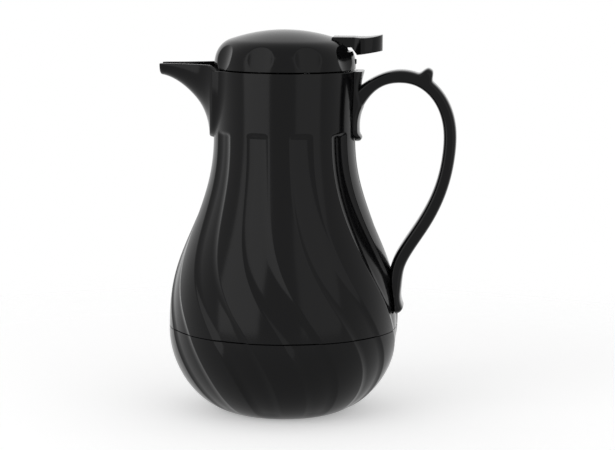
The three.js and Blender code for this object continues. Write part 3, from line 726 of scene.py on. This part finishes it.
def lid_ears():
    """The ears beside the slot that hold the lever's pin."""
    ears = []
    for side in (-1, 1):
        faces = sorted((side * SLOT_HALF, side * (SLOT_HALF + EAR_THICK)))
        ear = block(PIVOT_X - EAR_REACH, PIVOT_X + EAR_REACH, *faces,
                    PIVOT_Z - EAR_REACH, PIVOT_Z + EAR_RISE)
        ears.append(bevel(ear, 0.5))
    return ears


def lid_bosses():
    """The bosses under the dome that the cover's screws go into."""
    bosses = []
    for angle in np.radians((60, 180, 300)):
        boss = lathe("boss", tube(SCREW_HOLE, BOSS_RADIUS, COVER_TOP + GAP, BOSS_ROOT), 0.3, 32)
        x, y = SCREW_CIRCLE * math.cos(angle), SCREW_CIRCLE * math.sin(angle)
        boss.data.transform(Matrix.Translation((x * MM, y * MM, 0)))
        bosses.append(boss)
    return bosses


def lid_cap():
    cap = lid_shell()
    extras = lid_ears() + lid_bosses()
    slot = block(PIVOT_X - SLOT_AHEAD, SLOT_END, -SLOT_HALF, SLOT_HALF,
                 PIVOT_Z - SLOT_DEPTH, LID_TOP + 1)
    cap = combine(cap, slot, "DIFFERENCE")
    tab = block(LID_RADIUS - TAB_DEPTH, LID_RADIUS + TAB_PROUD, -TAB_HALF, TAB_HALF,
                TAB_FOOT, TAB_TOP)
    return join(cap, bevel(tab, 0.6), *extras)


# Lever

def lever_side():
    """The lever from the side: under the fork and pad, then back over the top."""
    below = [
        (-FORK_END, ARM_BOTTOM), (32, ARM_BOTTOM), (PIVOT_X, PIVOT_Z - LEVER_BOSS),
        (39.5, WEB_BOTTOM), (46.6, WEB_BOTTOM), (50.4, PAD_BOTTOM), (LEVER_REACH, PAD_TIP_BOTTOM),
    ]
    tip = (LEVER_REACH, LEVER_TOP + PAD_RISE)
    above = curve(tip, (57, LEVER_TOP - 1.2), (LEVER_BEND, LEVER_TOP), 16)
    front = [(LEVER_FRONT + 0.4, LEVER_TOP), (LEVER_FRONT, LEVER_TOP - 0.6),
             (LEVER_FRONT, FORK_TOP), (-FORK_END, FORK_TOP)]
    return below + above + front


def lever_plan(inset):
    """The web and the round pad from above, with their edges moved in by inset."""
    centre = LEVER_REACH - PAD_HALF
    pad = PAD_HALF - inset
    web = LEVER_HALF - inset
    flare = curve((LEVER_BEND, -web), (LEVER_BEND + 3, -web), (centre, -pad), 8)[1:]
    points = [(WEB_START + inset, web), (WEB_START + inset, -web), (LEVER_BEND, -web)] + flare
    for a in np.radians(np.linspace(-90, 90, 49))[1:]:
        points.append((centre + pad * math.cos(a), pad * math.sin(a)))
    points += [(x, -y) for x, y in flare[-2::-1]]
    return points + [(LEVER_BEND, web)]


def thumb_lever():
    low, high = LEVER_TOOLS
    lever = prism("lever", lever_side(), -LEVER_CLEAR, LEVER_CLEAR, upright)
    outline = prism("plan", lever_plan(0), low, high, flat)
    arm = block(-FORK_END, PIVOT_X, -ARM_HALF, ARM_HALF, low, high)
    lever = combine(lever, combine(outline, arm, "UNION"), "INTERSECT")
    hollow = prism("hollow", lever_plan(PAD_WALL), low, LEVER_TOP - PAD_ROOF, flat)
    under_pad = block(LEVER_BEND + 0.5, LEVER_REACH + 2.5, -LEVER_CLEAR, LEVER_CLEAR, low, high)
    lever = combine(lever, combine(hollow, under_pad, "INTERSECT"), "DIFFERENCE")
    lever = bevel(lever, 0.7, angle=40)
    lever = combine(lever, rod_y(LEVER_BOSS, LEVER_HALF, PIVOT_X, PIVOT_Z), "UNION")
    slot = block(-LEVER_CLEAR, FORK_SLOT, -FORK_HALF, FORK_HALF, low, high)
    lever = combine(lever, slot, "DIFFERENCE")
    lever = combine(lever, rod_y(PIN_HOLE, LEVER_CLEAR, PIVOT_X, PIVOT_Z), "DIFFERENCE")
    lever.name = "lever_fine"
    return lever


# Handle

HANDLE = [  # distance from the axis, height, half thickness, half width
    (38.4, 205, 10, 13), (48.4, 216.5, 6.5, 12.6), (57.5, 226.6, 4.8, 11.6),
    (67.2, 232.8, 4.2, 10.8), (79, 235.5, 4.5, 10.5), (92, 233.3, 4.4, 10.5),
    (106.5, 221.6, 4.4, 10.5), (114.2, 202, 4.5, 10.5), (114.3, 183, 4.5, 10.5),
    (108.8, 157.5, 4.6, 10.5), (97.6, 134, 4.8, 10.5), (86.2, 116.3, 4.8, 11),
]
HANDLE_FOOT = [  # proud of the belly, height, half thickness, half width
    (5.6, 103, 4.8, 12), (0.6, 90, 4.6, 14.5), (-1.2, 79, 4.6, 15), (0.2, 71.5, 5, 15),
]
FOOT_END = 69.6
PLATE = [  # depth under the rim, proud of the neck
    (49.2, 1.6), (48.6, 3.2), (46.4, 4.6), (44.2, 3.5), (41, 2.9), (36, 2.9),
    (32.6, 3.3), (28, 4.4), (24, 5.6), (18, 4.4), (12.6, 3.2), (6, 3.9), (0.3, 5.2),
]
PLATE_HALF = 13
PLATE_CORNER = 9  # height of its rounded foot
PLATE_EDGE = 1.6  # rounding along its sides
PLATE_LEAST = 0.5  # half width at the very foot
FINIAL = (98.5, 236.7)
FINIAL_RISE = 6.3
FINIAL_WIDTH = 3.4
FINIAL_STEEP = 3.2
LOOP_SQUARE = 0.5  # power that makes the loop's section a rounded rectangle
LOOP_END = 2.4  # length over which its lower end is rounded


def handle_arm():
    """Rings of the loop, from inside the tongue round to the foot on the belly."""
    foot = [(float(body_radius(z)) + proud, z, t, w) for proud, z, t, w in HANDLE_FOOT]
    stations, at = spline(HANDLE + foot, 520)
    ahead = np.gradient(stations[:, :2], axis=0)
    ahead /= np.hypot(*ahead.T)[:, None]
    finial_at = at[np.argmin(np.hypot(*(stations[:, :2] - FINIAL).T))]
    turn = np.linspace(0, 2 * math.pi, 64, endpoint=False)
    u = np.sign(np.cos(turn)) * np.abs(np.cos(turn)) ** LOOP_SQUARE
    v = np.sign(np.sin(turn)) * np.abs(np.sin(turn)) ** LOOP_SQUARE
    rings = []
    for (x, z, thick, wide), (dx, dz), s in zip(stations, ahead, at):
        end = smoothstep(at[-1] - s, 0, LOOP_END) ** 0.5
        bump = FINIAL_RISE * math.exp(-(abs(s - finial_at) / FINIAL_WIDTH) ** FINIAL_STEEP)
        reach = -(thick * mix(0.55, 1, end) * u) - bump * np.maximum(u, 0) ** 0.6
        y = wide * mix(0.8, 1, end) * v
        height = np.maximum(z - reach * dx, FOOT_END)
        rings.append(np.stack([x + reach * dz, y, height], axis=-1))
    return np.array(rings)


def off_body(points):
    """Moves points that lie inside the shell out to its skin, with the fitting gap."""
    r = np.hypot(points[..., 0], points[..., 1])
    face = body_radius(points[..., 2]) + GAP
    grow = np.maximum(face / np.maximum(r, 1e-6), 1)
    points[..., 0] *= grow
    points[..., 1] *= grow
    return points


def handle_plate():
    """Rings of the tongue on the neck, from its rounded foot up to the rim."""
    stations, _ = spline([(RIM_HEIGHT - drop, proud) for drop, proud in PLATE], 150)
    corner = stations[0, 0] + PLATE_CORNER
    across = np.sin(np.linspace(-math.pi / 2, math.pi / 2, 61))
    rings = []
    for z, proud in stations:
        below = max(0, (corner - z) / PLATE_CORNER)
        wide = max(PLATE_HALF * math.sqrt(max(0, 1 - below ** 2)), PLATE_LEAST)
        y = across * wide
        edge = np.clip((wide - np.abs(y)) / PLATE_EDGE, 0, 1)
        neck = float(body_radius(z)) + GAP
        r = neck + (proud - GAP) * np.sqrt(1 - (1 - edge) ** 2)
        angle = np.arcsin(np.clip(y / r, -1, 1))
        rings.append(np.concatenate([polar(angle, r, z), polar(angle, neck, z)[::-1]]))
    return np.array(rings)


def handle():
    arm = grid_object("handle_fine", off_body(handle_arm()), wrap=False)
    plate = grid_object("plate", handle_plate(), wrap=False)
    return join(arm, plate)


# Inner pieces

def stopper():
    plug_bore = PLUG_RADIUS - PLUG_WALL
    chamber_bore = CHAMBER_RADIUS - PLUG_WALL
    body = lathe("stopper_fine", [
        (SEAT_RADIUS, PLUG_BOTTOM), (PLUG_RADIUS - 1.3, PLUG_BOTTOM),
        (PLUG_RADIUS, PLUG_BOTTOM + 1.5), (PLUG_RADIUS, FLANGE_BOTTOM),
        (FLANGE_RADIUS, FLANGE_BOTTOM), (FLANGE_RADIUS, FLANGE_TOP),
        (CHAMBER_RADIUS, FLANGE_TOP), (CHAMBER_RADIUS, CHAMBER_TOP),
        (chamber_bore, CHAMBER_TOP), (chamber_bore, FLANGE_TOP),
        (plug_bore, FLANGE_TOP - 2), (plug_bore, PLUG_BOTTOM + PLUG_FLOOR),
        (SEAT_RADIUS, PLUG_BOTTOM + PLUG_FLOOR),
    ])
    for k in range(PORTS):
        port = block(20, 60, -PORT_HALF, PORT_HALF, PORT_SILL, PORT_SILL + PORT_HEIGHT)
        port.data.transform(Matrix.Rotation(2 * math.pi * k / PORTS, 4, "Z"))
        combine(body, port, "DIFFERENCE")
    return join(body, thread(0), thread(math.pi))


def thread(start):
    """One raised ridge of the plug's thread, from its foot at the angle start."""
    last = (THREAD_HIGH - THREAD_LOW) / THREAD_PITCH * 2 * math.pi
    rings = []
    for turn in np.linspace(0, last, 200):
        fade = min(1, turn / THREAD_FADE, (last - turn) / THREAD_FADE)
        z = THREAD_LOW + THREAD_PITCH * turn / (2 * math.pi)
        rings.append([polar(turn + start, PLUG_RADIUS + out * fade, z + rise * (0.4 + 0.6 * fade))
                      for rise, out in THREAD_SECTION])
    return grid_object("thread", rings, wrap=False, sharp=25)


def liner():
    depth = SHELL_WALL + GAP + FOAM_GAP + GAP
    back = depth + LINER_WALL
    neck = NECK_RADIUS - depth
    outside = [under(z, depth) for z in np.linspace(1, NECK_HEIGHT - 1, 48)]
    inside = [under(z, back) for z in np.linspace(3, NECK_HEIGHT - 1, 48)]
    lip = [
        (neck, NECK_HEIGHT), (neck, LINER_LIP - LIP_THICK), (LIP_RADIUS, LINER_LIP - LIP_THICK),
        (LIP_RADIUS, LINER_LIP), (neck - LINER_WALL, LINER_LIP), (neck - LINER_WALL, NECK_HEIGHT),
    ]
    return lathe("liner_fine", [(0, depth)] + outside + lip + inside[::-1] + [(0, back)])


def stopper_cover():
    return lathe("cover_fine", [
        (STEM_HOLE, GUIDE_BOTTOM), (GUIDE_RADIUS, GUIDE_BOTTOM), (GUIDE_RADIUS, COVER_BOTTOM),
        (CHAMBER_RADIUS, COVER_BOTTOM), (CHAMBER_RADIUS, COVER_TOP), (STEM_HOLE, COVER_TOP),
    ])


def gasket():
    ring = tube(GASKET_BORE, FLANGE_RADIUS, LINER_LIP + GAP, FLANGE_BOTTOM - GAP)
    return lathe("gasket_fine", ring, 0.8)


def valve_disc():
    return lathe("disc_fine", [
        (STEM_HOLE, DISC_BOTTOM), (SEAL_RADIUS, DISC_BOTTOM), (SEAL_RADIUS, DISC_TOP),
        (DISC_STEP + 0.4, DISC_TOP), (DISC_STEP, DISC_TOP + 1), (DISC_HUB, DISC_TOP + 1),
        (DISC_HUB, DISC_TOP + 2), (STEM_HOLE, DISC_TOP + 2),
    ], 0.4, 96)


def valve_seal():
    return lathe("seal_fine", tube(STEM_HOLE, SEAL_RADIUS, SEAL_BOTTOM, SEAL_TOP), 0.6, 96)


def valve_stem():
    return lathe("stem_fine", [
        (0, STEM_BOTTOM), (STEM_FOOT_RADIUS, STEM_BOTTOM), (STEM_FOOT_RADIUS, STEM_FOOT_TOP),
        (STEM_RADIUS, STEM_FOOT_TOP), (STEM_RADIUS, STEM_TOP), (0, STEM_TOP),
    ], 0.4, 64)


def fill_plug():
    return lathe("plug_fine", [
        (0, 0), (FILL_PLUG, 0), (FILL_PLUG, FILL_STEP), (FILL_HOLE, FILL_STEP),
        (FILL_HOLE, SHELL_WALL), (0, SHELL_WALL),
    ], 0.3, 96)


def valve_spring():
    section = np.linspace(0, 2 * math.pi, 12, endpoint=False)
    rings = []
    for share in np.linspace(0, 1, SPRING_TURNS * 40 + 1):
        z = mix(SPRING_FOOT + SPRING_WIRE, SPRING_HEAD - SPRING_WIRE, share)
        r = SPRING_COIL + SPRING_WIRE * np.cos(section)
        angle = 2 * math.pi * SPRING_TURNS * share
        rings.append(polar(angle, r, z - SPRING_WIRE * np.sin(section)))
    return grid_object("spring_fine", rings, wrap=False)


# Finishes

GRAIN_HEIGHT = 0.0001  # metres
ROUGHNESS_SPREAD = 0.1


def material(name, color, roughness, metallic=0, grain=0.0, scale=900, specular=0.5):
    """A finish whose roughness varies a little, with a fine grain where grain isn't 0."""
    result = bpy.data.materials.new(name)
    result.use_nodes = True
    nodes, links = result.node_tree.nodes, result.node_tree.links
    shader = nodes["Principled BSDF"]
    shader.inputs["Base Color"].default_value = (*color, 1)
    shader.inputs["Metallic"].default_value = metallic
    shader.inputs["Roughness"].default_value = roughness
    shader.inputs["Specular IOR Level"].default_value = specular
    noise = nodes.new("ShaderNodeTexNoise")
    noise.inputs["Scale"].default_value = scale
    place = nodes.new("ShaderNodeTexCoord")
    links.new(place.outputs["Object"], noise.inputs["Vector"])
    if grain:
        bump = nodes.new("ShaderNodeBump")
        bump.inputs["Strength"].default_value = grain
        bump.inputs["Distance"].default_value = GRAIN_HEIGHT
        links.new(noise.outputs["Fac"], bump.inputs["Height"])
        links.new(bump.outputs["Normal"], shader.inputs["Normal"])
    vary = nodes.new("ShaderNodeMapRange")
    vary.inputs["To Min"].default_value = roughness * (1 - ROUGHNESS_SPREAD)
    vary.inputs["To Max"].default_value = roughness * (1 + ROUGHNESS_SPREAD)
    links.new(noise.outputs["Fac"], vary.inputs["Value"])
    links.new(vary.outputs["Result"], shader.inputs["Roughness"])
    return result


gloss = material("gloss black", (0.0024, 0.0024, 0.0027), 0.14, scale=60, specular=0.15)
inner_black = material("satin black", (0.012, 0.012, 0.013), 0.42, grain=0.15)
liner_grey = material("liner", (0.02, 0.02, 0.022), 0.38, grain=0.1)
foam = material("foam", (0.78, 0.7, 0.45), 0.95, grain=0.6, scale=1500)
silicone = material("silicone", (0.48, 0.47, 0.43), 0.6, grain=0.1)
steel = material("steel", (0.55, 0.56, 0.57), 0.28, metallic=1, scale=300)


def add(piece, node, body, finish):
    """Gives a fine piece its finish and puts it in the place of a node."""
    piece.data.materials.clear()
    piece.data.materials.append(finish)
    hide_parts(node)
    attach(piece, body)


add(upper_shell(), "outer_shell_upper", "carafe", gloss)
add(base_shell(), "outer_shell_base", "carafe", gloss)
add(handle(), "handle", "carafe", gloss)
add(fill_plug(), "fill_plug", "carafe", inner_black)
add(liner(), "inner_liner", "carafe", liner_grey)
add(lid_cap(), "lid_cap", "lid", gloss)
add(stopper(), "stopper_body", "lid", inner_black)
add(stopper_cover(), "stopper_cover", "lid", inner_black)
add(gasket(), "stopper_gasket", "lid_seal", silicone)
add(thumb_lever(), "thumb_lever", "lever", gloss)
add(valve_stem(), "valve_stem", "valve", inner_black)
add(valve_disc(), "valve_disc", "valve", inner_black)
add(valve_seal(), "valve_seal", "valve", silicone)
spring = valve_spring()
add(spring, "valve_spring", "lid", steel)
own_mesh(spring)

KEPT = {  # nodes whose solids are shown, and their finish
    "foam_insulation": foam, "handle_screw_upper": steel, "handle_screw_lower": steel,
    "lid_screw_1": steel, "lid_screw_2": steel, "lid_screw_3": steel, "lever_pin": steel,
    "stem_cap": inner_black,
}
for node, finish in KEPT.items():
    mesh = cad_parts[node].data
    if not mesh.materials:
        mesh.materials.append(finish)
    for i in range(len(mesh.materials)):
        mesh.materials[i] = finish


# Camera

CAMERA_PLACE = (0.1307, -1.4943, 0.33905)
CAMERA_TARGET = (0.0162, 0.00142, 0.1304)
CAMERA_ROLL = 0.4  # degrees
CAMERA_LENS = 126.65  # millimetres, like the sensor
CAMERA_SENSOR = 36
CAMERA_FAR = 20


def look(place, target, roll=0.0):
    direction = Vector(target) - Vector(place)
    turn = direction.to_track_quat("-Z", "Y").to_matrix().to_4x4()
    return Matrix.Translation(Vector(place)) @ turn @ Matrix.Rotation(math.radians(roll), 4, "Z")


camera_data = bpy.data.cameras.new("camera")
camera = bpy.data.objects.new("camera", camera_data)
bpy.context.scene.collection.objects.link(camera)
camera.matrix_world = look(CAMERA_PLACE, CAMERA_TARGET, CAMERA_ROLL)
camera_data.sensor_width = CAMERA_SENSOR
camera_data.lens = CAMERA_LENS
camera_data.clip_end = CAMERA_FAR
bpy.context.scene.camera = camera


# Floor, light and background

TABLE_RADIUS = 0.62
TABLE_FADE = 0.3
TABLE_COLOR = 0.9
TABLE_LIFT = 0.36
TABLE_SIDES = 96
ROOM_LEVEL = 0.6
LAMP_TARGET = (0, 0, 0.13)


def math_node(tree, operation, *values):
    """A math node fed by sockets or plain numbers."""
    node = tree.nodes.new("ShaderNodeMath")
    node.operation = operation
    for socket, value in zip(node.inputs, values):
        if isinstance(value, (int, float)):
            socket.default_value = value
        else:
            tree.links.new(value, socket)
    return node.outputs[0]


def seen_rays(tree):
    """1 for rays that show the background: from the camera, off gloss or through glass."""
    path = tree.nodes.new("ShaderNodeLightPath")
    camera_ray, glass_ray = path.outputs["Is Camera Ray"], path.outputs["Is Transmission Ray"]
    seen = math_node(tree, "MAXIMUM", camera_ray, glass_ray)
    return math_node(tree, "MAXIMUM", seen, path.outputs["Is Glossy Ray"])


def table_top():
    turn = np.linspace(0, 2 * math.pi, TABLE_SIDES, endpoint=False)
    corners = [(TABLE_RADIUS * math.cos(a), TABLE_RADIUS * math.sin(a), 0) for a in turn]
    mesh = bpy.data.meshes.new("table")
    mesh.from_pydata(corners, [], [tuple(range(TABLE_SIDES))])
    top = bpy.data.objects.new("table", mesh)
    bpy.context.scene.collection.objects.link(top)
    return top


def table_fade(tree):
    """0 on the inner part of the table, rising to 1 at its edge."""
    place = tree.nodes.new("ShaderNodeTexCoord")
    length = tree.nodes.new("ShaderNodeVectorMath")
    length.operation = "LENGTH"
    tree.links.new(place.outputs["Object"], length.inputs[0])
    fade = tree.nodes.new("ShaderNodeMapRange")
    fade.interpolation_type = "SMOOTHSTEP"
    fade.inputs["From Min"].default_value = TABLE_FADE
    fade.inputs["From Max"].default_value = TABLE_RADIUS
    tree.links.new(length.outputs["Value"], fade.inputs["Value"])
    return fade.outputs["Result"]


def table():
    """A round white table that fades into the white background and keeps the object's shadow."""
    white = bpy.data.materials.new("table")
    white.use_nodes = True
    tree = white.node_tree
    shader = tree.nodes["Principled BSDF"]
    shader.inputs["Roughness"].default_value = 0.9
    shader.inputs["Emission Color"].default_value = (1, 1, 1, 1)
    shader.inputs["Base Color"].default_value = (TABLE_COLOR, TABLE_COLOR, TABLE_COLOR, 1)
    lift = math_node(tree, "MULTIPLY", seen_rays(tree), TABLE_LIFT)
    tree.links.new(lift, shader.inputs["Emission Strength"])
    clear = tree.nodes.new("ShaderNodeBsdfTransparent")
    blend = tree.nodes.new("ShaderNodeMixShader")
    tree.links.new(table_fade(tree), blend.inputs[0])
    tree.links.new(shader.outputs[0], blend.inputs[1])
    tree.links.new(clear.outputs[0], blend.inputs[2])
    tree.links.new(blend.outputs[0], tree.nodes["Material Output"].inputs["Surface"])
    top = table_top()
    top.data.materials.append(white)


def studio():
    """White background for seen rays, and weaker white light from all round for the others."""
    world = bpy.data.worlds.new("studio")
    bpy.context.scene.world = world
    world.use_nodes = True
    tree = world.node_tree
    white = math_node(tree, "MULTIPLY", seen_rays(tree), 1 - ROOM_LEVEL)
    background = tree.nodes["Background"]
    background.inputs["Color"].default_value = (1, 1, 1, 1)
    tree.links.new(math_node(tree, "ADD", white, ROOM_LEVEL), background.inputs["Strength"])


def lamp(name, place, width, height, watts):
    """A soft lamp that faces the object and shows in its gloss."""
    data = bpy.data.lights.new(name, "AREA")
    data.shape = "RECTANGLE"
    data.size, data.size_y = width, height
    data.energy = watts
    made = bpy.data.objects.new(name, data)
    bpy.context.scene.collection.objects.link(made)
    made.matrix_world = look(place, LAMP_TARGET)
    made.visible_camera = False


table()
studio()
lamp("key", (-1.08, -1.24, 0.6), 1.46, 1.7, 10)
lamp("fill", (1.06, -1.16, 0.6), 1.3, 1.7, 3.6)
bpy.context.scene.view_settings.view_transform = "Standard"
